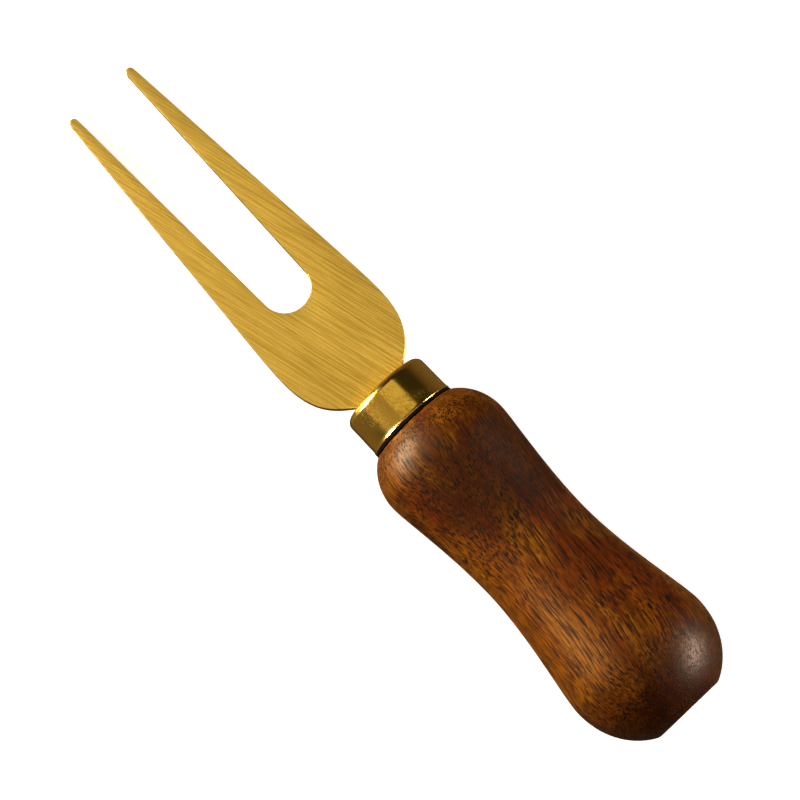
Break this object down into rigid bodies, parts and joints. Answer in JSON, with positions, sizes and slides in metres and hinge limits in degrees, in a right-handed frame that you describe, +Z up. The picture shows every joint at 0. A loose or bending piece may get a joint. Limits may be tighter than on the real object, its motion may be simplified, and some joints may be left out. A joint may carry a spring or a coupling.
{
  "type": "two-tined serving fork",
  "caption": "Short hand-held serving fork: flat plate with two long tapering tines, a ferrule, a thin spacer ring and a turned wooden handle.",
  "frame": {"origin": "on the table the fork lies on, under the middle of its bounding box", "axes": "+X along the table towards the tips, +Z up, +Y to the left of someone looking along the tines; the fork's own axis slopes down towards the tips by 7.6 degrees, because it lies on its two tips and on the front bulb of its handle"},
  "size_m": [0.1398, 0.0266, 0.0314],
  "materials": {
    "brushed_gold_plate": "gold coated stainless sheet, straight fine brushing at a slight angle to the fork's length, satin",
    "polished_gold_ferrule": "gold coated stainless, polished round, with fine scratches",
    "black_ring": "black, matt",
    "oiled_wood": "dark red-brown hardwood with open pores along the handle, oiled, semi-matt",
    "epoxy": "cured adhesive, hidden"
  },
  "bodies": {
    "root": {"fork_plate": "brushed_gold_plate", "ferrule": "polished_gold_ferrule", "spacer_ring": "black_ring", "handle": "oiled_wood", "tang_adhesive": "epoxy"}
  },
  "joints": []
}
